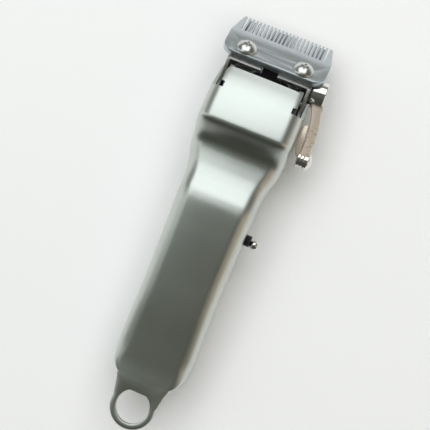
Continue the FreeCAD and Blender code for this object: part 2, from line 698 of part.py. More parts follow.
def guides():
    """The guide pins, one high and one low, as (y, z) places on the frame's cheeks."""
    return [(mm("pivot_y - 7.2"), mm("pivot_z + 4.2")), (mm("pivot_y - 5"), mm("pivot_z - 2.1"))]


def ear_slots(side):
    """The guide slots run along the blade; the right ear also has the taper cam's slot."""
    travel, gap = mm("blade_travel"), mm("guide_gap")
    # at rest the bracket stands at the rear end of its travel, so each slot reaches back
    back = BLADE_FRAME.Rotation.multVec(Vector(0, -travel / 2, 0))
    tools = [slot_tool(y + back.y, z + back.z, travel / 2 + 0.1, gap, mm("guide_radius"), side)
             for y, z in guides()]
    if side > 0:
        y, z = cam_centre()
        tools.append(slot_tool(y, z, gap, 0.25, mm("cam_radius"), side))
    return tools


def cam_centre():
    """Where the taper cam's middle is at rest, as (y, z)."""
    angle = math.radians(90 + mm("cam_angle"))
    along = mm("cam_offset") * math.cos(angle)
    across = mm("cam_offset") * math.sin(angle)
    turned = BLADE_FRAME.Rotation.multVec(Vector(0, along, across))
    return mm("pivot_y") + turned.y, mm("pivot_z") + turned.z


# ---- head frame and taper lever ---------------------------------------------------------------

def head_frame():
    """The cast frame that holds the motor at its back and carries the blade bracket."""
    front = mm("frame_y + plate_thick")
    thick = mm("plate_thick")
    middle_z = mm("motor_z")
    plate = Part.makeBox(33, thick, 22, Vector(-16.5, mm("frame_y"), 9.5))
    foot_low = cover_bottom(front) + wall + 0.1
    foot = Part.makeBox(23, thick, 10 - foot_low, Vector(-11.5, mm("frame_y"), foot_low))
    boss_hole = Part.makeCylinder(3.5, 20, Vector(0, 45, middle_z), Vector(0, 1, 0))
    solid = plate.fuse(foot)
    pins = []
    under_y, under_z = blade_point(-2, mm("-blade_thick - sheet_thick") - 1.3)
    end_y, end_z = blade_point(6.5, mm("-blade_thick - sheet_thick") - 1.3)
    for side in (-1, 1):
        outline = [(front - 0.5, mm("cheek_bottom")), (front - 0.5, under_z), (under_y, under_z),
                   (end_y, end_z), (end_y, mm("cheek_bottom"))]
        inner = side * (mm("cheek_out") - mm("cheek_thick"))
        face = Part.Face(Part.makePolygon([Vector(inner, y, z) for y, z in
                                           outline + outline[:1]]))
        solid = solid.fuse(face.extrude(Vector(side * mm("cheek_thick"), 0, 0)))
        for y, z in guides():
            pins.append(Part.makeCylinder(mm("guide_radius"), mm("flange_half - cheek_out") + 1.2,
                                          Vector(side * (mm("cheek_out") - 1), y, z),
                                          Vector(side, 0, 0)))
        # a tab that screws up against the housing's post
        x, y = side * mm("frame_post_x"), mm("frame_post_y")
        level = mm("motor_z + 8.5")
        tab = Part.makeBox(6, front - y + 3, 1.8, Vector(x - 3, y - 3, level - 1.8))
        hole = post(x, y, level - 4, level + 4, mm("casing_screw_radius + 0.2"))
        solid = solid.fuse(tab).cut(hole)
    solid = solid.fuse(pins)
    shaft = Part.makeCylinder(mm("shaft_radius + running_gap"), 10,
                              Vector(10, mm("pivot_y"), mm("pivot_z")), Vector(1, 0, 0))
    screws = [Part.makeCylinder(0.85, 20, Vector(s * 6.5, 45, middle_z), Vector(0, 1, 0))
              for s in (-1, 1)]
    return solid.cut([boss_hole, shaft] + screws)


def frame_screws():
    screws = []
    for side in (-1, 1):
        x, y = side * mm("frame_post_x"), mm("frame_post_y")
        level = mm("motor_z + 8.5 - 1.8")
        head = post(x, y, level - 1.4, level, 2.2)
        shank = post(x, y, level, underside(y) - 6.5, mm("casing_screw_radius"))
        screws.append(head.fuse(shank))
    return Part.makeCompound(screws)


def lever_shaft():
    """The taper shaft: a journal in the cheek, the eccentric cam, and a stub for the lever."""
    y, z = mm("pivot_y"), mm("pivot_z")
    out = Vector(1, 0, 0)
    cheek_in = mm("cheek_out - cheek_thick")
    ear_in, ear_out = mm("flange_half - ear_thick"), mm("flange_half")
    journal = Part.makeCylinder(mm("shaft_radius"), ear_in - cheek_in + 1.8,
                                Vector(cheek_in - 2, y, z), out)
    cam_y, cam_z = cam_centre()
    cam = Part.makeCylinder(mm("cam_radius"), ear_out - ear_in + 0.7,
                            Vector(ear_in - 0.4, cam_y, cam_z), out)
    stub_long = mm("hub_out - lever_head_high") - ear_out - 0.5
    stub = Part.makeCylinder(mm("hub_bore"), stub_long, Vector(ear_out + 0.1, y, z), out)
    thread = Part.makeCylinder(mm("lever_screw_radius"), 6, Vector(mm("hub_out") - 6, y, z), out)
    groove = Part.makeCylinder(3, 0.7, Vector(cheek_in - 1.1, y, z), out).cut(
        Part.makeCylinder(1.6, 0.7, Vector(cheek_in - 1.1, y, z), out))
    return journal.fuse([cam, stub]).cut([thread, groove])


def shaft_clip():
    """The E-clip that keeps the taper shaft in its cheek."""
    at = Vector(mm("cheek_out - cheek_thick - 1.1 + 0.05"), mm("pivot_y"), mm("pivot_z"))
    out = Vector(1, 0, 0)
    ring = Part.makeCylinder(3.4, 0.6, at, out).cut(Part.makeCylinder(1.6, 0.6, at, out))
    mouth = Part.makeBox(0.6, 2.4, 5, at - Vector(0, 1.2, 5))
    return ring.cut(mouth)


def taper_lever():
    """The lever: a round hub, and a bowed arm that runs back along the casing to a tongue."""
    hub = cylinder("lever_hub", ("hub_in", "pivot_y", "pivot_z"), "hub_radius",
                   "hub_out - hub_in", "X")
    body = doc.addObject("PartDesign::Body", "lever_arm")
    start, end = "pivot_y - hub_radius + 1.4", "knob_y + 0.3"
    outer_x = "hub_out + arm_reach"
    outline = sketch(body, "XY", "lever_arm_outline", [
        ("hub_out - 0.1", start), (outer_x, end), (outer_x + " - arm_thick", end),
        ("hub_out - 0.1 - arm_thick - arm_flare", start)],
        arcs={0: "-arm_bow", 2: "arm_bow - arm_thick"})
    pad(body, outline, "arm_wide", middle=True)
    place(body, "0", "0", "pivot_z")
    bore = cylinder("lever_bore", ("hub_in - 1", "pivot_y", "pivot_z"), "hub_bore",
                    "hub_out - hub_in + 2", "X")
    seat_x = "hub_out - lever_head_high - 0.1"
    head_seat = cylinder("lever_head_seat", (seat_x, "pivot_y", "pivot_z"), "3", "4", "X")
    return cut("taper_lever", fuse("lever_solid", hub, body), bore, head_seat)


def arm_inner(y):
    """The arm's inner side, as a place along X, at a place along Y."""
    start, end = mm("pivot_y - hub_radius + 1.4"), mm("knob_y + 0.3")
    first, last = mm("hub_out - 0.1 - arm_thick - arm_flare"), mm("hub_out + arm_reach - arm_thick")
    share = (start - y) / (start - end)
    half = math.hypot(start - end, last - first) / 2
    radius = mm("arm_bow - arm_thick")
    bulge = radius - math.sqrt(radius ** 2 - half ** 2)
    return first + (last - first) * share + bulge * (1 - (2 * share - 1) ** 2)


def lever_knob():
    """The thumb knob: a ribbed barrel with a domed outer end, recessed for the arm's end."""
    radius = "knob_radius"
    span = "(knob_out - knob_in - 0.6)"
    points = [("0", "knob_in"), (radius + " - 0.4", "knob_in")]
    ribs = 3
    for i in range(ribs):
        low = f"knob_in + 0.5 + {span} * {i / ribs}"
        high = f"knob_in + 0.5 + {span} * {(i + 0.6) / ribs}"
        points += [(radius, low), (radius, high)]
        if i < ribs - 1:
            points += [(radius + " - 0.35", high), (radius + " - 0.35",
                                                    f"knob_in + 0.5 + {span} * {(i + 1) / ribs}")]
    points[-1] = (radius, "knob_out")
    points += [("0", "knob_out + knob_dome")]
    body = revolved("knob_barrel", points, arcs={len(points) - 2: dome("knob_radius", "knob_dome")})
    body.Placement = Placement(Vector(0, mm("knob_y"), mm("pivot_z")),
                               Rotation(Vector(0, 1, 0), 90))
    arm = box("knob_recess", ("hub_out + arm_reach - arm_thick - 0.6", "knob_y + 0.3",
                              "pivot_z - arm_wide / 2"), ("arm_thick + 1.2", "8", "arm_wide"))
    return cut("lever_knob", body, arm)


def friction_leaf():
    """The bar on the lever's inner side that drags on the casing and holds a setting."""
    low, long = mm("knob_y + 0.9"), mm("leaf_long")
    level, high = mm("pivot_z"), mm("arm_wide - 1")
    casing = max(half_width(low + long * i / 16) for i in range(17)) + mm("leaf_gap")
    # it lies against the arm at the knob and stands clear of it beyond
    outer = [(low, 0), (low + 2.5, 0), (low + 3, 0.3), (low + long / 2, 0.3), (low + long, 0.3)]
    outline = [Vector(arm_inner(y) - gap, y, 0) for y, gap in outer]
    outline += [Vector(casing, low + long - 0.8, 0), Vector(casing, low + 6, 0),
                Vector(casing + 0.35, low + 3, 0), Vector(casing + 1.6, low, 0)]
    outline = [p + Vector(0, 0, level - high / 2) for p in outline]
    return Part.Face(Part.makePolygon(outline + outline[:1])).extrude(Vector(0, 0, high))


def lever_screw():
    high = mm("lever_head_high")
    at = Vector(mm("hub_out") - high - 0.1, mm("pivot_y"), mm("pivot_z"))
    out = Vector(1, 0, 0)
    head = Part.makeCylinder(2.85, high, at, out)
    head = head.makeFillet(0.4, [e for e in head.Edges if e.BoundBox.XMin > at.x + high - 0.1])
    shank = Part.makeCylinder(mm("lever_screw_radius"), 4.5, at - out * 4.5, out)
    slot = Part.makeBox(1, 6, 0.7, at + Vector(high - 0.6, -3, -0.35))
    return head.fuse(shank).cut(slot)


# ---- motor and drive --------------------------------------------------------------------------

def along_y(radius, start, end, x=0, z=None):
    z = mm("motor_z") if z is None else z
    return Part.makeCylinder(radius, end - start, Vector(x, start, z), Vector(0, 1, 0))


def motor_can():
    front, long = mm("motor_front_y"), mm("motor_long")
    radius, thick = mm("motor_radius"), mm("can_thick")
    can = along_y(radius, front - long, front).fuse(along_y(3.5, front, front + 1.4))
    inside = along_y(radius - thick, front - long - 1, front - thick)
    screws = [along_y(0.85, front - 3, front + 1, x) for x in (-6.5, 6.5)]
    return can.cut([inside, along_y(2.5, front - 3, front + 3)] + screws)


def motor_magnets():
    front, long = mm("motor_front_y"), mm("motor_long")
    outer = mm("motor_radius - can_thick")
    ring = along_y(outer, front - long + 5, front - 4).cut(
        along_y(outer - mm("magnet_thick"), front - long + 5, front - 4))
    low = mm("motor_z") - 6
    band = Part.makeBox(40, long, 12, Vector(-20, front - long, low))
    return ring.common(band)


def motor_end_cap():
    rear = mm("motor_front_y - motor_long")
    cap = along_y(mm("motor_radius - can_thick"), rear, rear + 2)
    cap = cap.fuse(along_y(3.4, rear - 1.6, rear))
    terminals = [Part.makeBox(0.6, 4, 2.4, Vector(x - 0.3, rear - 4, mm("motor_z") - 1.2))
                 for x in (-7, 7)]
    return cap.cut(along_y(2.5, rear - 2, rear + 3)).fuse(terminals)


def motor_bushes():
    front, rear = mm("motor_front_y"), mm("motor_front_y - motor_long")
    bore = mm("motor_shaft_radius + running_gap")
    return Part.makeCompound([
        along_y(2.5, front - mm("can_thick"), front + 1.4).cut(along_y(bore, front - 3, front + 3)),
        along_y(2.5, rear - 1.6, rear + 2).cut(along_y(bore, rear - 3, rear + 3))])


def motor_rotor():
    front, rear = mm("motor_front_y"), mm("motor_front_y - motor_long")
    shaft = along_y(mm("motor_shaft_radius"), rear - 1.4, mm("cam_y + 3.4"))
    armature = along_y(mm("armature_radius"), rear + 7, front - 5)
    slots = []
    for i in range(3):
        slot = Part.makeBox(1.4, 40, 4.2, Vector(-0.7, rear, mm("armature_radius - 3.4")))
        slot.Placement = Placement(Vector(0, 0, mm("motor_z")), Rotation(Vector(0, 1, 0), 120 * i))
        slots.append(slot)
    commutator = along_y(2.6, rear + 3, rear + 7)
    return armature.cut(slots).fuse([shaft, commutator])


def eccentric_cam():
    start = mm("cam_y")
    disc = along_y(4.5, start, start + 3.5)
    flank = Part.makeBox(12, 3.5, 6, Vector(-6, start, mm("motor_z") + 2.9))
    pin = along_y(mm("crank_radius"), start + 3.5, start + 3.5 + mm("crank_long"),
                  z=mm("motor_z + crank_offset"))
    return disc.cut([flank, along_y(mm("motor_shaft_radius"), start - 1, start + 3.4)]).fuse(pin)


def motor_screws():
    seat = mm("frame_y + plate_thick")
    front = mm("motor_front_y")
    return Part.makeCompound([along_y(1.8, seat, seat + 1.1, x).fuse(
        along_y(0.85, front - 1.6, seat, x)) for x in (-6.5, 6.5)])


def drive_yoke():
    """The plastic yoke: a fork round the crank pin, and a foot that carries the cutter."""
    start, thick = mm("fork_y"), mm("fork_thick")
    half, fork_wall = mm("fork_slot_half"), mm("fork_wall")
    level = mm("motor_z")
    fork = Part.makeBox(2 * (half + fork_wall), thick, 12,
                        Vector(-half - fork_wall, start, level - 6.5))
    slot = Part.makeBox(2 * half, thick + 2, 20, Vector(-half, start - 1, level - 3.6))
    under = mm("-blade_thick - cutter_gap - cutter_thick")
    foot = Part.makeBox(15, 5.4, 2, Vector(-7.5, mm("cutter_start"), under - 2))
    pins = [Part.makeCylinder(1.1, 2, Vector(x, mm("cutter_start + 2.6"), under - 0.5))
            for x in (-6, 6)]
    foot = foot.fuse(pins)
    foot.Placement = BLADE_FRAME
    front = start + thick
    low = level - 6.5
    toe = blade_point(mm("cutter_start + 5.2"), under - 1.5)
    heel = blade_point(mm("cutter_start + 0.2"), under - 1.5)
    outline = [(front - 0.5, low), (front - 0.5, low + 3.6), (heel[0] - 4, low + 4.6), heel, toe,
               (toe[0] - 5, low)]
    arm = Part.Face(Part.makePolygon([Vector(-4.5, y, z) for y, z in outline + outline[:1]]))
    return fork.cut(slot).fuse([arm.extrude(Vector(9, 0, 0)), foot])


def cutter_spring():
    """The wire spring that springs from the frame's foot and holds the yoke up to the blade."""
    wire_radius = 0.7
    level = mm("motor_z - 6.5") - wire_radius - 0.25
    start, end = mm("frame_y + plate_thick"), mm("fork_y + fork_thick + 5")
    half, bend = 9.2, 3
    corner = bend * (1 - math.cos(math.pi / 4))
    points = [Vector(-half, start, level), Vector(-half, end - bend, level),
              Vector(-half + corner, end - corner, level), Vector(-half + bend, end, level),
              Vector(half - bend, end, level), Vector(half - corner, end - corner, level),
              Vector(half, end - bend, level), Vector(half, start, level)]
    path = Part.Wire([
        Part.makeLine(points[0], points[1]), Part.Arc(*points[1:4]).toShape(),
        Part.makeLine(points[3], points[4]), Part.Arc(*points[4:7]).toShape(),
        Part.makeLine(points[6], points[7])])
    circle = Part.Wire(Part.makeCircle(wire_radius, points[0], Vector(0, 1, 0)))
    return path.makePipeShell([circle], True, False)


# ---- battery, board, socket and switch --------------------------------------------------------

def battery_cell():
    start, end, z = mm("cell_y"), mm("cell_y + cell_long"), mm("cell_z")
    can = along_y(mm("cell_radius"), start, end, z=z)
    rims = [e for e in can.Edges if e.BoundBox.YMax - e.BoundBox.YMin < 1e-6]
    return can.makeFillet(0.5, rims).fuse(along_y(2.8, end, end + 0.9, z=z))


def battery_tabs():
    start, end, z = mm("cell_y"), mm("cell_y + cell_long + 0.9"), mm("cell_z")
    low = mm("board_z + board_thick")
    return Part.makeCompound([Part.makeBox(4, 0.3, z + 2 - low, Vector(-2, y, low))
                              for y in (start - 0.3, end)])


def battery_cradle():
    """The plastic cradle between the circuit board and the cell."""
    low = mm("board_z + board_thick")
    length = mm("cell_long - 4")
    block = Part.makeBox(15.6, length, mm("cell_z") - 3.2 - low, Vector(-7.8, mm("cell_y + 2"), low))
    hollow = Part.makeBox(9, length - 6, 20, Vector(-4.5, mm("cell_y + 5"), low - 1))
    screws = [post(0, y, low - 1, low + 10, 2.4)
              for y in (mm("board_y + 4"), mm("board_y + board_long - 3.6"))]
    return block.cut([along_y(mm("cell_radius + 0.05"), -90, 40, z=mm("cell_z")), hollow] + screws)


def circuit_board():
    start, long = mm("board_y"), mm("board_long")
    half, low, thick = mm("board_half"), mm("board_z"), mm("board_thick")
    board = Part.makeBox(2 * half, long, thick, Vector(-half, start, low))
    holes = [post(0, y, low - 1, low + 3, 1.1) for y in (start + 4, start + long - 3.6)]
    chips = [Part.makeBox(5, 4, 1.1, Vector(-6.6, start + 12, low - 1.1)),
             Part.makeBox(3, 3, 1.1, Vector(1.6, start + 14, low - 1.1)),
             Part.makeBox(4, 6, 1.5, Vector(2, start + 26, low - 1.5)),
             Part.makeBox(2, 2.6, 1.2, Vector(-5, start + 28, low - 1.2)),
             Part.makeBox(1.6, 1.2, 0.8, Vector(-0.8, start + long - 12.6, low - 0.8))]
    return board.cut(holes).fuse(chips)


def board_screws():
    top = mm("board_z + board_thick")
    return Part.makeCompound([
        post(0, y, top, top + 0.9, 1.8).fuse(post(0, y, top - 3.2, top, 0.9))
        for y in (mm("board_y + 4"), mm("board_y + board_long - 3.6"))])


def indicator_lens():
    y = mm("board_y + board_long - 12")
    return post(0, y, 0.15, 2.4, 1.6).fuse(post(0, y, 2, 2.8, 2.4))


def charging_socket():
    start, long, z = mm("tail_y + 0.2"), mm("socket_long"), mm("socket_z")
    barrel = along_y(mm("socket_radius"), start, start + long, z=z)
    pins = [Part.makeBox(1.2, 1.6, 5, Vector(x - 0.6, start + long - 2.4, z - 8)) for x in (-2, 2)]
    bore = along_y(mm("socket_bore"), start - 1, start + mm("socket_deep"), z=z)
    return barrel.fuse(pins).cut(bore)


def along_x(radius, start, end):
    return Part.makeCylinder(radius, end - start, Vector(start, mm("switch_y"), mm("switch_z")),
                             Vector(1, 0, 0))


def switch_face():
    return half_width(mm("switch_y"))


def switch_body():
    """The switch's case inside the casing, with its threaded bushing through the side wall."""
    face = switch_face()
    inner = face - wall
    y, z = mm("switch_y"), mm("switch_z")
    case = Part.makeBox(6.5, 8, 8, Vector(inner - 8, y - 4, z - 4))
    bushing = along_x(mm("bushing_radius"), inner - 1.5, face + mm("bushing_out"))
    bore = along_x(1.85, inner - 2, face + 9)
    seat = along_x(mm("toggle_root + running_gap"), face - 2.6, face + 1.2)
    pins = [Part.makeBox(4, 0.6, 2, Vector(inner - 12, y + dy - 0.3, z - 1))
            for dy in (-2.6, 0, 2.6)]
    return case.fuse([bushing] + pins).cut([bore, seat])


def switch_nut():
    inner = switch_face() - wall
    hexagon = [Vector(inner - 1.45, mm("switch_y") + 4.4 * math.cos(a),
                      mm("switch_z") + 4.4 * math.sin(a))
               for a in (math.pi / 3 * i for i in range(7))]
    nut = Part.Face(Part.makePolygon(hexagon)).extrude(Vector(1.2, 0, 0))
    return nut.cut(along_x(mm("bushing_radius"), inner - 3, inner + 3))


def switch_toggle():
    """The bat of the power switch, leaning to the tail when it is off."""
    root, ball, stem = "toggle_root", "toggle_ball", "toggle_stem"
    reach = "(toggle_reach + 0.4)"
    body = revolved("toggle_bat", [
        ("0", "-toggle_root"), (stem + " - 0.15", f"sqrt({root}^2 - ({stem} - 0.15)^2)"),
        (stem, f"{reach} - {ball} - sqrt({ball}^2 - {stem}^2)"), ("0", reach)],
        arcs={0: root, 2: ball})
    tilt = Rotation(Vector(0, 0, 1), -mm("toggle_angle")).multiply(Rotation(Vector(0, 1, 0), 90))
    pivot = Vector(switch_face() - 0.4, mm("switch_y"), mm("switch_z"))
    body.Placement = Placement(pivot, tilt)
    return body


# ---- the clipper ------------------------------------------------------------------------------

OWN_SHAPES = (
    bottom_housing, top_cover, casing_screws, head_frame, frame_screws, lever_shaft, shaft_clip,
    friction_leaf, lever_screw, motor_can, motor_magnets, motor_end_cap, motor_bushes,
    motor_rotor, eccentric_cam, motor_screws, drive_yoke, cutter_spring,
    battery_cell, battery_tabs, battery_cradle, circuit_board, board_screws, indicator_lens,
    charging_socket, switch_body, switch_nut,
)

for make in OWN_SHAPES:
    sub_part(make.__name__, own_shape(make.__name__, make()))
sub_part("stationary_blade", stationary_blade(), BLADE_FRAME)
sub_part("cutter_blade", cutter_blade(), BLADE_FRAME)
sub_part("blade_screws", group("blade_screws", blade_screw("left_screw", -1),
                               blade_screw("right_screw", 1)),
         BLADE_FRAME)
sub_part("blade_bracket", blade_bracket())
sub_part("taper_lever", taper_lever())
sub_part("lever_knob", lever_knob())
sub_part("switch_toggle", switch_toggle())
doc.recompute()

for item in doc.Objects:
    if {"Invalid", "Error"} & set(item.State):
        raise SystemExit(f"{item.Name} failed: {item.State}")

os.makedirs("parts", exist_ok=True)
for label, item in PARTS.items():
    shape = item.Shape
    if shape.isNull() or not shape.isValid() or not shape.Solids:
        raise SystemExit(f"{label} is not a valid solid")
    shape.exportStep(f"parts/{label}.step")
print(f"{len(PARTS)} sub-parts")
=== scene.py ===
"""The looks of a cordless hair clipper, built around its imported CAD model.

It lies on its top cover: +X is the taper lever's side, +Y runs to the blade's teeth and +Z comes
out of the underside. Profiles below are written in millimetres, and every mesh is in metres."""

import bisect
import math

import bmesh
import bpy
from mathutils import Matrix, Vector


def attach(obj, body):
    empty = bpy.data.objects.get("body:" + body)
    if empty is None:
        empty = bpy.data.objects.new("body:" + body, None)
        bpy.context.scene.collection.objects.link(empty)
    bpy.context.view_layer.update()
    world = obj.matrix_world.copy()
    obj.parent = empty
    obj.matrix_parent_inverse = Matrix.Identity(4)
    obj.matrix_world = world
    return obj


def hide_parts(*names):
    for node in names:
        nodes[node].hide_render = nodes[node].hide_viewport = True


MM = 0.001
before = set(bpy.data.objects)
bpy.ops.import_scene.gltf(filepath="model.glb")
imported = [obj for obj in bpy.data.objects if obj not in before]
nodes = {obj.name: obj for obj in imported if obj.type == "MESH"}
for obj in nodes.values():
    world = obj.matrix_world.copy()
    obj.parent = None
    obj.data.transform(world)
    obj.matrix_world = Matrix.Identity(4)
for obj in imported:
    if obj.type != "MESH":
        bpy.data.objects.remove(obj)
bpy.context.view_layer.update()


# ---- casing profiles, in millimetres ---------------------------------------------------------

def smooth(points):
    """A curve through (place, value) points that never overshoots between two of them."""
    at, values = zip(*points)
    gaps = [b - a for a, b in zip(at, at[1:])]
    rises = [(b - a) / g for a, b, g in zip(values, values[1:], gaps)]
    slopes = [rises[0]]
    for before, after in zip(rises, rises[1:]):
        slopes.append(0 if before * after <= 0 else 2 * before * after / (before + after))
    slopes.append(rises[-1])

    def value(place):
        y = min(max(place, at[0]), at[-1])
        i = min(bisect.bisect_right(at, y) - 1, len(gaps) - 1)
        t = (y - at[i]) / gaps[i]
        return (values[i] * (1 + 2 * t) * (1 - t) ** 2 + slopes[i] * gaps[i] * t * (1 - t) ** 2
                + values[i + 1] * t * t * (3 - 2 * t) + slopes[i + 1] * gaps[i] * t * t * (t - 1))

    return value


TAIL_Y, LIP_Y, COVER_END_Y = -70.5, 66.5, 72.0
PARTING, WALL, END_WALL = 16.0, 2.0, 2.5
CROWN = 160.0
TAIL_TOP = 27.5
COVER_ROUND, COVER_LEAN = 5.2, 9.0
TONGUE_HALF, SIDE_EDGE_Y, SIDE_SLOPE_Z = 17.0, 56.4, 22.0
POCKET_HALF, POCKET_DEEP = 19.45, 4.0
PIVOT_Y, PIVOT_Z, HUB_RADIUS, HUB_ROOM = 70.0, 19.5, 6.2, 0.5
SWITCH_Y, SWITCH_Z, BUSHING_RADIUS = 0.8, 20.6, 2.6
SOCKET_Z, SOCKET_RADIUS = 20.2, 4.0
SCREW_PLACES, SCREW_HOLE = ((11.2, -48), (14.6, 36)), 2.5
LENS_Y, LENS_RADIUS = -11, 1.6
SMOOTH_ANGLE, BEVEL_ANGLE = 32, 35

underside = smooth([
    (-70.5, 27.5), (-66.5, 27.55), (-58.5, 28.15), (-31, 31.2), (-1, 33.3), (8, 33.6),
    (12, 33.25), (16, 32.25), (20, 31.25), (25, 30.4), (31, 30), (33.5, 30.45), (36, 32),
    (39.5, 35.6), (41.5, 37.5), (42.7, 38), (44.7, 37.8), (53.7, 36.2), (58, 35), (62, 33.45),
    (66.5, 31.3)])
half_width = smooth([
    (-70.5, 12.2), (-68.7, 14.174), (-65.5, 15.772), (-60.5, 16.6), (-54.5, 16.9), (-31, 16.4),
    (2, 17), (17, 17.3), (23.5, 18.299), (27, 19.335), (31, 20.223), (37, 20.75), (46.5, 21),
    (56.5, 20.9), (66.5, 20.2)])
cover_bottom = smooth([
    (-70.5, 10), (-68, 6.2), (-62.5, 2.6), (-52.5, 0.2), (-40.5, -0.5), (0, -0.6),
    (38.5, -0.5), (50.5, 0.2), (61.25, 1.38), (72, 4.6)])
# the rounding along both long edges, which tightens towards the hanging loop
corner_radius = smooth([(-70.5, 1.8), (-66, 3.8), (-58, 6.5), (66.5, 6.5)])


def span(first, last, step):
    """Evenly spaced values from first to last, about step apart."""
    count = max(1, round(abs((last - first) / step)))
    return [first + (last - first) * i / count for i in range(count + 1)]


def upper_section(y, inset, foot):
    """Points of the lower housing's section, from the right foot over the top to the left."""
    half, top = half_width(y) - inset, underside(y) - inset
    corner, crown = max(0.5, corner_radius(y) - inset), CROWN - inset
    cx = half - corner
    cz = top - crown + math.sqrt((crown - corner) ** 2 - cx ** 2)
    lean = math.asin(cx / (crown - corner))
    right = [(half, z) for z in span(foot, cz, (cz - foot) / 7)[:-1]]
    right += [(cx + corner * math.sin(a), cz + corner * math.cos(a))
              for a in span(math.pi / 2, lean, -(math.pi / 2 - lean) / 14)]
    middle = [(crown * math.sin(a), top - crown + crown * math.cos(a))
              for a in span(lean, 0, -lean / 12)][1:]
    half_ring = right + middle
    ring = half_ring + [(-x, z) for x, z in reversed(half_ring[:-1])]
    return [Vector((x, y, z)) for x, z in ring]


def cover_section(y, inset, rise):
    """Points of the top cover's section, from the right rim round the bottom to the left."""
    half, low = half_width(y) - inset, cover_bottom(y) + inset
    flat = half_width(y) - COVER_ROUND - inset * 0.4
    deep = PARTING - low
    lean = math.tan(math.radians(COVER_LEAN))
    poles = [(half, PARTING), (half - lean * deep * 0.75, PARTING - deep * 0.75),
             (flat + (half - flat) * 0.5, low), (flat, low)]
    side = [(half, PARTING + rise)] if rise else []
    for t in span(0, 1, 1 / 22):
        share = [(1 - t) ** 3, 3 * t * (1 - t) ** 2, 3 * t * t * (1 - t), t ** 3]
        side.append(tuple(sum(s * p[k] for s, p in zip(share, poles)) for k in (0, 1)))
    side += [(flat * (1 - s), low) for s in (0.25, 0.5, 0.75, 1)]
    ring = side + [(-x, z) for x, z in reversed(side[:-1])]
    if inset == 0:  # the outside rests flat on the table
        ring = [(x, max(z, 0.0)) for x, z in ring]
    return [Vector((x, y, z)) for x, z in ring]


# ---- mesh helpers ----------------------------------------------------------------------------

def to_object(name, bm, smooth_angle=SMOOTH_ANGLE):
    """An object from a bmesh whose coordinates are in millimetres."""
    bmesh.ops.recalc_face_normals(bm, faces=bm.faces)
    bmesh.ops.scale(bm, vec=(MM, MM, MM), verts=bm.verts)
    mesh = bpy.data.meshes.new(name)
    bm.to_mesh(mesh)
    bm.free()
    made = bpy.data.objects.new(name, mesh)
    bpy.context.scene.collection.objects.link(made)
    shade(made, smooth_angle)
    return made


def shade(item, angle):
    """Smooth shading, with a crease wherever two faces meet at more than angle degrees."""
    item.data.shade_smooth()
    item.data.set_sharp_from_angle(angle=math.radians(angle))


def grid_skin(bm, rows):
    """Quads between rows of points. Returns the rows of vertices."""
    verts = [[bm.verts.new(p) for p in row] for row in rows]
    for a, b in zip(verts, verts[1:]):
        for i in range(len(a) - 1):
            bm.faces.new((a[i], a[i + 1], b[i + 1], b[i]))
    return verts


def hollow_shell(outer_rows, inner_rows):
    """A closed shell: two skins joined along both rims and round the mouth, closed at the tail."""
    bm = bmesh.new()
    outer, inner = grid_skin(bm, outer_rows), grid_skin(bm, inner_rows)
    for side in (0, -1):
        stitch(bm, [row[side] for row in outer], [row[side] for row in inner])
    for a, b in zip(zip(outer[-1], outer[-1][1:]), zip(inner[-1], inner[-1][1:])):
        bm.faces.new((a[0], a[1], b[1], b[0]))
    bm.faces.new(outer[0])
    bm.faces.new(inner[0])
    bm.faces.new((outer[0][0], outer[0][-1], inner[0][-1], inner[0][0]))
    return bm


def stitch(bm, a, b):
    """Triangles between two lines of vertices that run the same way with their own spacing."""
    i = j = 0
    while i < len(a) - 1 or j < len(b) - 1:
        step_a = j == len(b) - 1 or (i < len(a) - 1 and a[i + 1].co.y <= b[j + 1].co.y)
        if step_a:
            bm.faces.new((a[i], a[i + 1], b[j]))
            i += 1
        else:
            bm.faces.new((a[i], b[j + 1], b[j]))
            j += 1


def prism(points, along, start, end):
    """A closed prism: an outline in the plane across one axis, from start to end along it."""
    order = {"x": lambda u, v, w: (w, u, v), "y": lambda u, v, w: (u, w, v),
             "z": lambda u, v, w: (u, v, w)}[along]
    bm = bmesh.new()
    near = [bm.verts.new(order(u, v, start)) for u, v in points]
    far = [bm.verts.new(order(u, v, end)) for u, v in points]
    bm.faces.new(near)
    bm.faces.new(far)
    for i in range(len(points)):
        j = (i + 1) % len(points)
        bm.faces.new((near[i], near[j], far[j], far[i]))
    bmesh.ops.recalc_face_normals(bm, faces=bm.faces)
    return bm


def circle(radius, count, cx, cy):
    """The points of a circle about (cx, cy)."""
    return [(cx + radius * math.cos(2 * math.pi * i / count),
             cy + radius * math.sin(2 * math.pi * i / count)) for i in range(count)]


def lathe(profile, count=64):
    """A turned body about X from (place along X, radius) points."""
    bm = bmesh.new()
    rings = []
    for x, radius in profile:
        if radius < 1e-6:
            rings.append([bm.verts.new((x, 0, 0))])
        else:
            rings.append([bm.verts.new((x, radius * math.cos(2 * math.pi * i / count),
                                        radius * math.sin(2 * math.pi * i / count)))
                          for i in range(count)])
    for a, b in zip(rings, rings[1:]):
        for i in range(count):
            j = (i + 1) % count
            if len(a) == 1:
                bm.faces.new((a[0], b[i], b[j]))
            elif len(b) == 1:
                bm.faces.new((a[i], a[j], b[0]))
            else:
                bm.faces.new((a[i], a[j], b[j], b[i]))
    for ring in (rings[0], rings[-1]):
        if len(ring) > 1:
            bm.faces.new(ring)
    return bm


def carve(item, cutters):
    """Cuts bmesh shapes, in millimetres, out of an object, and applies the result."""
    for bm in cutters:
        tool = to_object("cutter", bm)
        modifier = item.modifiers.new("cut", "BOOLEAN")
        modifier.operation = "DIFFERENCE"
        modifier.solver = "EXACT"
        modifier.object = tool
        settle(item)
        bpy.data.objects.remove(tool)
    shade(item, SMOOTH_ANGLE)


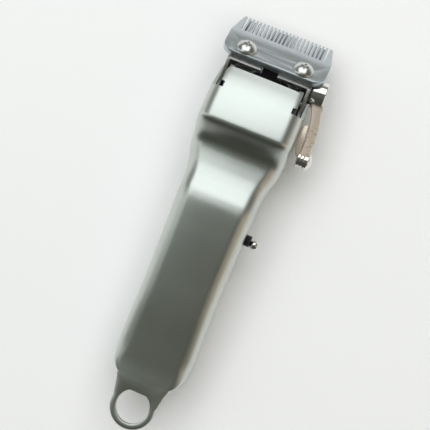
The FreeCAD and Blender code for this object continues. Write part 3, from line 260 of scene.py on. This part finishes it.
def settle(item):
    """Applies an object's modifiers to its mesh."""
    graph = bpy.context.evaluated_depsgraph_get()
    mesh = bpy.data.meshes.new_from_object(item.evaluated_get(graph))
    item.modifiers.clear()
    item.data = mesh


def finished(item, body, material, slot, *replaced):
    """Gives a piece its material and the body it rides on, and hides the CAD nodes it stands for; slot
    is not used.
    """
    item.data.materials.clear()
    item.data.materials.append(material)
    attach(item, body)
    if replaced:
        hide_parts(*replaced)
    return item


def softened(node, name, width, segments, clamp):
    """A copy of a CAD node with its sharp edges broken by a small bevel, in millimetres."""
    bm = bmesh.new()
    bm.from_mesh(nodes[node].data)
    bmesh.ops.remove_doubles(bm, verts=bm.verts, dist=2e-6)
    bmesh.ops.dissolve_limit(bm, angle_limit=math.radians(0.6), verts=bm.verts, edges=bm.edges)
    mesh = bpy.data.meshes.new(name)
    bm.to_mesh(mesh)
    bm.free()
    item = bpy.data.objects.new(name, mesh)
    bpy.context.scene.collection.objects.link(item)
    modifier = item.modifiers.new("edge", "BEVEL")
    modifier.width = width * MM
    modifier.segments = segments
    modifier.limit_method = "ANGLE"
    modifier.angle_limit = math.radians(BEVEL_ANGLE)
    modifier.use_clamp_overlap = clamp
    modifier.miter_outer = "MITER_ARC"
    settle(item)
    shade(item, 40)
    return item


# ---- materials -------------------------------------------------------------------------------

def surface(name, colour, roughness, metallic=1.0, grain=900.0, stretch=(1, 1, 1), bump=0.05,
            mottling=0.08, rough_range=0.12, coat=0.0):
    """A procedural finish: mottled colour, uneven roughness and a fine grain in the bump.

    stretch scales the grain along each axis, so a small number draws it out into brush lines."""
    made = bpy.data.materials.new(name)
    made.use_nodes = True
    tree = made.node_tree
    link = tree.links.new
    shader = tree.nodes["Principled BSDF"]
    shader.inputs["Metallic"].default_value = metallic
    shader.inputs["Coat Weight"].default_value = coat
    shader.inputs["Coat Roughness"].default_value = 0.2
    place = tree.nodes.new("ShaderNodeTexCoord")
    mapping = tree.nodes.new("ShaderNodeMapping")
    mapping.inputs["Scale"].default_value = stretch
    link(place.outputs["Object"], mapping.inputs["Vector"])
    fine = tree.nodes.new("ShaderNodeTexNoise")
    fine.inputs["Scale"].default_value = grain
    fine.inputs["Detail"].default_value = 3
    link(mapping.outputs["Vector"], fine.inputs["Vector"])
    broad = tree.nodes.new("ShaderNodeTexNoise")
    broad.inputs["Scale"].default_value = 45
    broad.inputs["Detail"].default_value = 4
    link(place.outputs["Object"], broad.inputs["Vector"])
    both = tree.nodes.new("ShaderNodeMix")
    both.inputs["Factor"].default_value = 0.5
    link(fine.outputs["Fac"], both.inputs["A"])
    link(broad.outputs["Fac"], both.inputs["B"])
    tint = tree.nodes.new("ShaderNodeValToRGB")
    for stop, place_at, scale in zip(tint.color_ramp.elements, (0.3, 0.7), (1 - mottling, 1 + mottling)):
        stop.position = place_at
        stop.color = (*[min(1, c * scale) for c in colour], 1)
    link(both.outputs["Result"], tint.inputs["Fac"])
    link(tint.outputs["Color"], shader.inputs["Base Color"])
    rough = tree.nodes.new("ShaderNodeMapRange")
    rough.inputs["From Min"].default_value = 0.35
    rough.inputs["From Max"].default_value = 0.65
    rough.inputs["To Min"].default_value = roughness * (1 - rough_range)
    rough.inputs["To Max"].default_value = roughness * (1 + rough_range)
    link(both.outputs["Result"], rough.inputs["Value"])
    link(rough.outputs["Result"], shader.inputs["Roughness"])
    relief = tree.nodes.new("ShaderNodeBump")
    relief.inputs["Strength"].default_value = bump
    relief.inputs["Distance"].default_value = 0.0002
    link(fine.outputs["Fac"], relief.inputs["Height"])
    link(relief.outputs["Normal"], shader.inputs["Normal"])
    return made


PAINT = surface("satin_silver_paint", (0.60, 0.63, 0.60), 0.34, grain=2600, bump=0.16,
                mottling=0.06, rough_range=0.06)
BLADE = surface("ground_blade_steel", (0.52, 0.57, 0.60), 0.32, grain=700, stretch=(0.06, 1, 1),
                bump=0.12, mottling=0.10)
CUTTER = surface("ground_cutter_steel", (0.42, 0.43, 0.45), 0.36, grain=700,
                 stretch=(1, 0.06, 0.06), bump=0.1)
CHROME = surface("polished_chrome", (0.82, 0.80, 0.77), 0.09, grain=300, bump=0.015, mottling=0.03)
# the lever arm's and leaf's tan colour is a painted warm reflection of the surroundings, not the metal's
# own tint
PAINTED_REFLECTION_ARM = surface("satin_arm_painted_warm_reflection", (0.68, 0.59, 0.48), 0.3, metallic=0.6, grain=1200,
                     bump=0.04, mottling=0.04)
SCREW = surface("screw_steel", (0.66, 0.66, 0.64), 0.24, grain=700, bump=0.05)
PLATE = surface("plated_sheet", (0.45, 0.44, 0.42), 0.3, grain=900, bump=0.08, mottling=0.1)
ZINC = surface("zinc_plating", (0.62, 0.62, 0.62), 0.32, grain=900, bump=0.1)
ALLOY = surface("cast_alloy", (0.36, 0.36, 0.36), 0.5, grain=1600, bump=0.25, mottling=0.12)
SPRING = surface("blued_spring_steel", (0.20, 0.21, 0.24), 0.3, grain=600, bump=0.05)
DARK_STEEL = surface("motor_steel", (0.40, 0.40, 0.41), 0.35, grain=800, stretch=(1, 0.1, 1),
                     bump=0.1)
FERRITE = surface("ferrite", (0.05, 0.05, 0.055), 0.7, metallic=0, grain=1800, bump=0.3)
BLACK = surface("black_moulding", (0.022, 0.022, 0.024), 0.45, metallic=0, grain=2200, bump=0.15)
BRONZE = surface("sintered_bronze", (0.55, 0.38, 0.2), 0.5, grain=2000, bump=0.2)
ACETAL = surface("white_acetal", (0.8, 0.79, 0.74), 0.4, metallic=0, grain=1500, bump=0.05)
SLEEVE = surface("cell_sleeve", (0.05, 0.16, 0.32), 0.25, metallic=0, grain=300, bump=0.05)
LAMINATE = surface("board_laminate", (0.02, 0.16, 0.06), 0.3, metallic=0, grain=1400, bump=0.08)
LENS = surface("red_lens", (0.65, 0.06, 0.04), 0.12, metallic=0, grain=200, bump=0.01, coat=0.5)
NICKEL = surface("nickel_strip", (0.64, 0.62, 0.58), 0.25, grain=900, bump=0.06)

KEPT = {
    "head_frame": ALLOY, "frame_screws": ZINC, "lever_shaft": ZINC, "shaft_clip": SPRING,
    "motor_can": DARK_STEEL, "motor_magnets": FERRITE, "motor_end_cap": BLACK,
    "motor_bushes": BRONZE, "motor_rotor": DARK_STEEL, "eccentric_cam": ACETAL,
    "motor_screws": ZINC, "cutter_spring": SPRING, "battery_cell": SLEEVE,
    "battery_tabs": NICKEL, "battery_cradle": BLACK, "circuit_board": LAMINATE,
    "board_screws": ZINC, "indicator_lens": LENS, "charging_socket": BLACK, "switch_nut": ZINC,
    "casing_screws": ZINC, "drive_yoke": BLACK,
}
for node, finish in KEPT.items():
    nodes[node].data.materials.clear()
    nodes[node].data.materials.append(finish)


# ---- casing ----------------------------------------------------------------------------------

EYE_Y, EYE_RADIUS, LOOP_RADIUS, LOOP_THICK = -82.2, 7.2, 9.9, 3.2
LOOP_EDGE, EYE_EDGE = 1.2, 0.5


def loop_outline():
    """The hanging loop's edge as (x, y): down the right neck, round the eye, up the left neck."""
    neck = smooth([(-80, LOOP_RADIUS), (-77.5, 10.4), (-75.1, 10.85), (-73.5, 11.2), (-72.2, 11.6),
                   (-71.2, 12.0), (-70.5, 12.1)])
    right = [(9.4, -66.5), (11.2, -68.6)]
    right += [(neck(y), y) for y in span(-70.5, -79.5, 0.75)]
    start = math.asin((-80.2 - EYE_Y) / LOOP_RADIUS)
    right += [(LOOP_RADIUS * math.cos(a), EYE_Y + LOOP_RADIUS * math.sin(a))
              for a in span(start, -math.pi / 2, 0.1)]
    return right + [(-x, y) for x, y in reversed(right[:-1])]


def loop_top(x, y):
    """The loop carries on the casing's crown, and its root dips just under the casing's skin."""
    drop = CROWN - math.sqrt(CROWN ** 2 - x ** 2)
    return TAIL_TOP - drop - 0.1 * max(0.0, y - TAIL_Y)


def hanging_loop():
    """The loop: a plate with a rounded edge and a round eye with a softened rim."""
    outline = loop_outline()
    count = len(outline)
    outward = []
    for i in range(count):
        (ax, ay), (bx, by) = outline[i - 1], outline[(i + 1) % count]
        run = Vector((bx - ax, by - ay)).normalized()
        outward.append(Vector((-run.y, run.x)))
    profile = [(LOOP_EDGE * (1 - math.sin(a)), LOOP_EDGE * (1 - math.cos(a)))
               for a in span(0, math.pi / 2, 0.2)]
    profile += [(inset, LOOP_THICK - down) for inset, down in reversed(profile)]
    bm = bmesh.new()
    loops = []
    for inset, down in profile:
        ring = [(x - n.x * inset, y - n.y * inset) for (x, y), n in zip(outline, outward)]
        loops.append([bm.verts.new((x, y, loop_top(x, y) - down)) for x, y in ring])
    profile = [(EYE_EDGE, 0), (EYE_EDGE * 0.3, EYE_EDGE * 0.3), (0, EYE_EDGE)]
    profile = [(widen, LOOP_THICK - down) for widen, down in profile] + profile[::-1]
    bearings = [math.atan2(y - EYE_Y, x) for x, y in outline]
    for widen, down in profile:
        ring = [((EYE_RADIUS + widen) * math.cos(a), EYE_Y + (EYE_RADIUS + widen) * math.sin(a))
                for a in bearings]
        loops.append([bm.verts.new((x, y, loop_top(x, y) - down)) for x, y in ring])
    for a, b in zip(loops, loops[1:] + loops[:1]):
        for i in range(count):
            j = (i + 1) % count
            bm.faces.new((a[i], a[j], b[j], b[i]))
    return to_object("loop", bm, 40)


def hub_recess():
    """The round opening in the casing's right side that the lever's hub turns in."""
    return prism(circle(HUB_RADIUS + HUB_ROOM, 72, PIVOT_Y, PIVOT_Z), "x", 19.1, 25.1)


def mouth_cutters():
    """What is cut away round the housing's mouth: side edges, notches, pockets and corners."""
    half, round_off, beyond = TONGUE_HALF, 2.6, LIP_Y + 5
    side = [(SIDE_EDGE_Y, 60), (SIDE_EDGE_Y, 28), (LIP_Y + 0.01, SIDE_SLOPE_Z),
            (beyond, SIDE_SLOPE_Z), (beyond, 60)]
    tools = [hub_recess()]
    for s in (-1, 1):
        tools.append(prism(side, "x", s * half, s * (half + 20)))
        notch_in, notch_out, notch_end = s * (half - 1.7), s * (half + 0.02), SIDE_EDGE_Y + 2.7
        notch = [(notch_in, SIDE_EDGE_Y), (notch_out, SIDE_EDGE_Y), (notch_out, notch_end),
                 (notch_in, notch_end)]
        tools.append(prism(notch, "z", SIDE_SLOPE_Z, 46))
        near, far = s * (half - POCKET_DEEP), s * POCKET_HALF
        room = [(near, SIDE_EDGE_Y - 3), (far, SIDE_EDGE_Y - 3), (far, LIP_Y + 4), (near, LIP_Y + 4)]
        tools.append(prism(room, "z", PARTING - 1, PARTING + 13))
        cx, cy = half - round_off, LIP_Y - round_off
        corner = [(s * (cx + round_off * math.cos(a)), cy + round_off * math.sin(a))
                  for a in span(0, math.pi / 2, 0.2)]
        corner += [(s * cx, LIP_Y + 2), (s * (half + 2), LIP_Y + 2), (s * (half + 2), cy)]
        tools.append(prism(corner, "z", PARTING + 8, 46))
    tools.append(prism(circle(BUSHING_RADIUS, 40, SWITCH_Y, SWITCH_Z), "x", 11, 23))
    tools.append(prism(circle(SOCKET_RADIUS, 48, 0.0, SOCKET_Z), "y", -73, -63))
    return tools


def lower_housing():
    """The shell with the grip, the thumb scoop and the hump, and the loop at its tail."""
    outer = [upper_section(y, 0, PARTING) for y in span(TAIL_Y, LIP_Y, 1.0)]
    inner = [upper_section(y, WALL, PARTING) for y in span(TAIL_Y + END_WALL, LIP_Y, 2.0)]
    shell = to_object("lower_housing", hollow_shell(outer, inner))
    carve(shell, mouth_cutters())
    finished(shell, "casing", PAINT, "casing_paint", "bottom_housing")
    finished(hanging_loop(), "casing", PAINT, "casing_paint")


def upper_cover():
    """The shell that lies on the table, with its screw holes and the hole for the indicator."""
    outer = [cover_section(y, 0, 0) for y in span(TAIL_Y, COVER_END_Y, 1.5)]
    inner = [cover_section(y, WALL, 0) for y in span(TAIL_Y + END_WALL, COVER_END_Y, 2.5)]
    shell = to_object("upper_cover", hollow_shell(outer, inner))
    slant = [(LIP_Y, PARTING + 2), (LIP_Y, PARTING), (COVER_END_Y + 1, 10.5),
             (COVER_END_Y + 1, PARTING + 2)]
    tools = [prism(slant, "x", -40, 40), hub_recess()]
    for s in (-1, 1):
        near, far = s * (POCKET_HALF - POCKET_DEEP), s * POCKET_HALF
        start, end = SIDE_EDGE_Y - 3, COVER_END_Y + 1
        room = [(near, start), (far, start), (far, end), (near, end)]
        tools.append(prism(room, "z", PARTING - 4, PARTING + 1))
        for x, y in SCREW_PLACES:
            tools.append(prism(circle(SCREW_HOLE, 32, s * x, y), "z", -1, 3.0))
    tools.append(prism(circle(LENS_RADIUS, 32, 0, LENS_Y), "z", -1, 4))
    carve(shell, tools)
    finished(shell, "casing", PAINT, "casing_paint", "top_cover")


lower_housing()
upper_cover()


# ---- blade set, lever and switch -------------------------------------------------------------

def refine(node, name, width, body, material, slot, segments=2, clamp=True):
    """A finished piece that is a CAD node with softer edges."""
    piece = softened(node, name, width, segments, clamp)
    return finished(piece, body, material, slot, node)


refine("stationary_blade", "comb_blade", 0.1, "blade_carriage", BLADE, "blade_steel")
refine("cutter_blade", "moving_cutter", 0.05, "cutter", CUTTER, "cutter_steel")
refine("blade_bracket", "sheet_bracket", 0.3, "blade_carriage", PLATE, "bracket_steel", 3)
refine("blade_screws", "dome_screws", 0.06, "blade_carriage", SCREW, "screw_chrome")
refine("lever_knob", "thumb_knob", 0.12, "lever", CHROME, "lever_chrome")
refine("friction_leaf", "leaf", 0.2, "lever", PAINTED_REFLECTION_ARM, "lever_chrome")
refine("lever_screw", "lever_pan_screw", 0.1, "lever", CHROME, "lever_chrome")


def taper_lever():
    """The lever, whose turned hub is polished and whose arm is satin, its tan colour a painted warm
    reflection.
    """
    arm = refine("taper_lever", "lever_arm", 0.5, "lever", PAINTED_REFLECTION_ARM, "lever_chrome", 3, False)
    hub = arm.copy()
    hub.data = arm.data.copy()
    hub.name = "lever_hub"
    bpy.context.scene.collection.objects.link(hub)
    for item, wanted in ((arm, False), (hub, True)):
        bm = bmesh.new()
        bm.from_mesh(item.data)
        drop = []
        for face in bm.faces:
            middle = face.calc_center_median() / MM
            near = math.hypot(middle.y - PIVOT_Y, middle.z - PIVOT_Z) < HUB_RADIUS + 0.02
            if near != wanted:
                drop.append(face)
        bmesh.ops.delete(bm, geom=drop, context="FACES")
        bm.to_mesh(item.data)
        bm.free()
        shade(item, 40)
    finished(hub, "lever", CHROME, "lever_chrome")


taper_lever()


def power_switch():
    """The switch's case and threaded bushing, and the bat that leans out of it."""
    face = 16.98
    pivot = Vector((face - 0.4, SWITCH_Y, SWITCH_Z))
    thread = []
    start, end, pitch = face - 3.4, face + 2.4, 0.5
    x = start
    while x < end - 0.3:
        thread += [(x, BUSHING_RADIUS), (x + pitch * 0.5, 2.32)]
        x += pitch
    profile = [(start, 1.9)] + thread + [(end - 0.2, 2.5), (end, 2.3), (end, 1.85), (start, 1.85)]
    bm = lathe(profile, 48)
    bmesh.ops.translate(bm, vec=(0, pivot.y, pivot.z), verts=bm.verts)
    low, high = (face - 10, -3.2, 16.6), (face - 3.5, 4.8, 24.6)
    case = bmesh.ops.create_cube(bm, size=1)["verts"]
    for v in case:
        v.co = Vector([l + (h - l) * (c + 0.5) for l, h, c in zip(low, high, v.co)])
    bmesh.ops.bevel(bm, geom=list({e for v in case for e in v.link_edges}), offset=0.5, segments=2,
                    affect="EDGES", profile=0.5)
    finished(to_object("switch_bushing", bm, 30), "casing", BLACK, "switch_plastic", "switch_body")

    root, ball, reach = 2.0, 2.1, 7.0
    outline = [(-root * math.cos(a), root * math.sin(a)) for a in span(0, 2.5, 0.25)]
    outline += [(1.9, 1.08), (3.0, 1.12)]
    outline += [(reach - ball - ball * math.cos(a), ball * math.sin(a))
                for a in span(0.61, math.pi, 0.16)][:-1]
    outline.append((reach, 0.0))
    bat = lathe(outline, 48)
    bmesh.ops.rotate(bat, verts=bat.verts, cent=(0, 0, 0),
                     matrix=Matrix.Rotation(math.radians(-10), 3, "Z"))
    bmesh.ops.translate(bat, vec=pivot, verts=bat.verts)
    finished(to_object("toggle", bat, 50), "switch_bat", CHROME, "toggle_chrome", "switch_toggle")


power_switch()


# ---- stage, lights and camera ----------------------------------------------------------------

def stage():
    """A plain pale floor, several metres across."""
    bm = bmesh.new()
    bmesh.ops.create_grid(bm, x_segments=2, y_segments=2, size=3000)
    floor = to_object("floor", bm)
    made = bpy.data.materials.new("pale_floor")
    made.use_nodes = True
    shader = made.node_tree.nodes["Principled BSDF"]
    shader.inputs["Base Color"].default_value = (0.9, 0.9, 0.9, 1)
    shader.inputs["Roughness"].default_value = 0.9
    floor.data.materials.append(made)


def softbox(name, bearing, distance, size, radiance, colour, mirrored=True):
    """A rectangular light in the direction of bearing, aimed at the clipper.

    One that isn't mirrored lights the matt surfaces but isn't seen in the polished ones."""
    light = bpy.data.lights.new(name, "AREA")
    light.shape = "RECTANGLE"
    light.size, light.size_y = size
    light.energy = radiance * math.pi * size[0] * size[1]
    light.color = colour
    item = bpy.data.objects.new(name, light)
    bpy.context.scene.collection.objects.link(item)
    item.location = Vector(bearing).normalized() * distance
    item.rotation_euler = item.location.to_track_quat("Z", "Y").to_euler()
    item.visible_glossy = mirrored


def lights():
    """A cool key over the teeth, a strip along each side and a soft overhead fill."""
    softbox("key", (-0.18, 0.80, 1.0), 1.2, (1.3, 1.0), 1.7, (0.94, 0.98, 1.0))
    softbox("left", (-0.87, 0.0, 0.5), 1.2, (0.5, 1.9), 0.75, (0.95, 0.99, 1.0))
    softbox("right", (0.97, 0.0, 0.26), 1.2, (0.5, 1.9), 0.5, (1.0, 0.80, 0.60))
    softbox("fill", (0.0, 0.1, 1.0), 1.6, (2.2, 2.2), 1.35, (1.0, 1.0, 1.0), mirrored=False)


def backdrop():
    """A world that is dim overhead and behind the hanging loop, and paler at the horizon."""
    world = bpy.data.worlds.new("studio")
    world.use_nodes = True
    tree = world.node_tree
    link = tree.links.new
    place = tree.nodes.new("ShaderNodeTexCoord")
    split = tree.nodes.new("ShaderNodeSeparateXYZ")
    link(place.outputs["Generated"], split.inputs["Vector"])
    ramp = tree.nodes.new("ShaderNodeValToRGB")
    ramp.color_ramp.interpolation = "EASE"
    stops = ramp.color_ramp.elements
    stops[0].position, stops[0].color = 0.0, (0.46, 0.43, 0.39, 1)
    stops[1].position, stops[1].color = 0.45, (0.115, 0.12, 0.10, 1)
    link(split.outputs["Z"], ramp.inputs["Fac"])
    side = tree.nodes.new("ShaderNodeMapRange")
    side.interpolation_type = "SMOOTHSTEP"
    side.inputs["From Min"].default_value = -0.8
    side.inputs["From Max"].default_value = -0.1
    link(split.outputs["Y"], side.inputs["Value"])
    both = tree.nodes.new("ShaderNodeMix")
    both.data_type = "RGBA"
    both.inputs["A"].default_value = (0.06, 0.062, 0.052, 1)
    link(side.outputs["Result"], both.inputs["Factor"])
    link(ramp.outputs["Color"], both.inputs["B"])
    link(both.outputs["Result"], tree.nodes["Background"].inputs["Color"])
    bpy.context.scene.world = world


def camera():
    """A camera above the underside, a little to the lever's side, turned about its own axis."""
    data = bpy.data.cameras.new("camera")
    data.sensor_width = 36
    data.lens = 98.2
    data.clip_start, data.clip_end = 0.01, 20
    item = bpy.data.objects.new("camera", data)
    bpy.context.scene.collection.objects.link(item)
    turn = (Matrix.Rotation(0.088, 4, "Y") @ Matrix.Rotation(0.0264, 4, "X")
            @ Matrix.Rotation(0.3897, 4, "Z"))
    item.matrix_world = Matrix.Translation((0.04503, -0.00748, 0.52026)) @ turn
    bpy.context.scene.camera = item


stage()
lights()
backdrop()
camera()
bpy.context.scene.view_settings.view_transform = "Standard"
